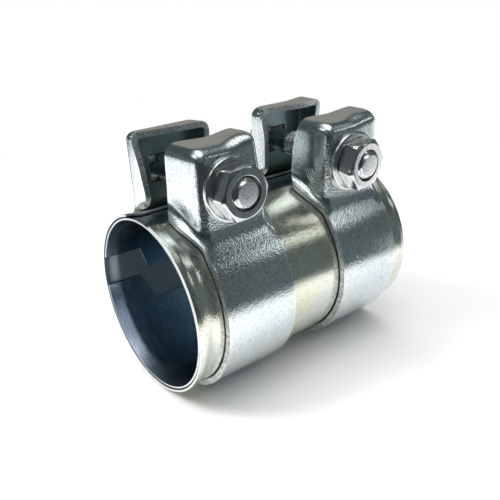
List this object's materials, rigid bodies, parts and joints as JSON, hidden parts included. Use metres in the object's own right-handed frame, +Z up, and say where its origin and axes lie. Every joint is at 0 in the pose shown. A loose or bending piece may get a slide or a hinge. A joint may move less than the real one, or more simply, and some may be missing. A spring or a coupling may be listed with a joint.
{
  "type": "pipe repair clamp",
  "caption": "Slit steel sleeve and liner squeezed round a pipe joint by clamp bands whose pressed ears are drawn together by a bolt and nut.",
  "frame": {"origin": "on the surface that the clamp bands rest on, under the middle of the sleeve's length and under the pipe axis", "axes": "+X along the pipe, from the left end to the right end; the nuts face -Y; +Z up, towards the ears and bolts"},
  "size_m": [0.0784, 0.0538, 0.0722],
  "materials": {
    "sleeve_zinc": "zinc plated, faint yellow tint",
    "liner_zinc": "zinc plated, bluish",
    "band_zinc": "bright zinc plated",
    "bolt_zinc": "bright zinc plated",
    "washer_steel": "zinc plated, satin",
    "nut_steel": "zinc plated, satin"
  },
  "bodies": {
    "connector": {"outer_sleeve": "sleeve_zinc", "inner_liner": "liner_zinc", "clamp_band_left": "band_zinc", "clamp_band_right": "band_zinc"},
    "bolt_left": {"bolt_left": "bolt_zinc"},
    "washer_left": {"washer_left": "washer_steel"},
    "nut_left": {"nut_left": "nut_steel"},
    "bolt_right": {"bolt_right": "bolt_zinc"},
    "washer_right": {"washer_right": "washer_steel"},
    "nut_right": {"nut_right": "nut_steel"}
  },
  "joints": [
    {"name": "nut_left_spin", "type": "hinge", "parent": "washer_left", "child": "nut_left", "pos_m": [-0.0212, 0.00098, 0.05944], "axis": [0, -0.9995, 0.0302], "range_deg": [0, 1269]},
    {"name": "washer_left_travel", "type": "slide", "parent": "connector", "child": "washer_left", "axis": [0, -0.9995, 0.0302], "range_m": [0, 0.0022]},
    {"name": "bolt_left_travel", "type": "slide", "parent": "connector", "child": "bolt_left", "axis": [0, 0.9995, -0.0302], "range_m": [0, 0.0022]},
    {"name": "nut_right_spin", "type": "hinge", "parent": "washer_right", "child": "nut_right", "pos_m": [0.0204, -0.00098, 0.05944], "axis": [0, -0.9995, -0.0302], "range_deg": [0, 1269]},
    {"name": "washer_right_travel", "type": "slide", "parent": "connector", "child": "washer_right", "axis": [0, -0.9995, -0.0302], "range_m": [0, 0.0022]},
    {"name": "bolt_right_travel", "type": "slide", "parent": "connector", "child": "bolt_right", "axis": [0, 0.9995, 0.0302], "range_m": [0, 0.0022]}
  ],
  "couplings": [
    {"joint": "nut_left_spin", "follows": "washer_left_travel", "rad_per_m": 10053},
    {"joint": "bolt_left_travel", "follows": "washer_left_travel", "ratio": 1},
    {"joint": "nut_right_spin", "follows": "washer_right_travel", "rad_per_m": 10053},
    {"joint": "bolt_right_travel", "follows": "washer_right_travel", "ratio": 1}
  ]
}
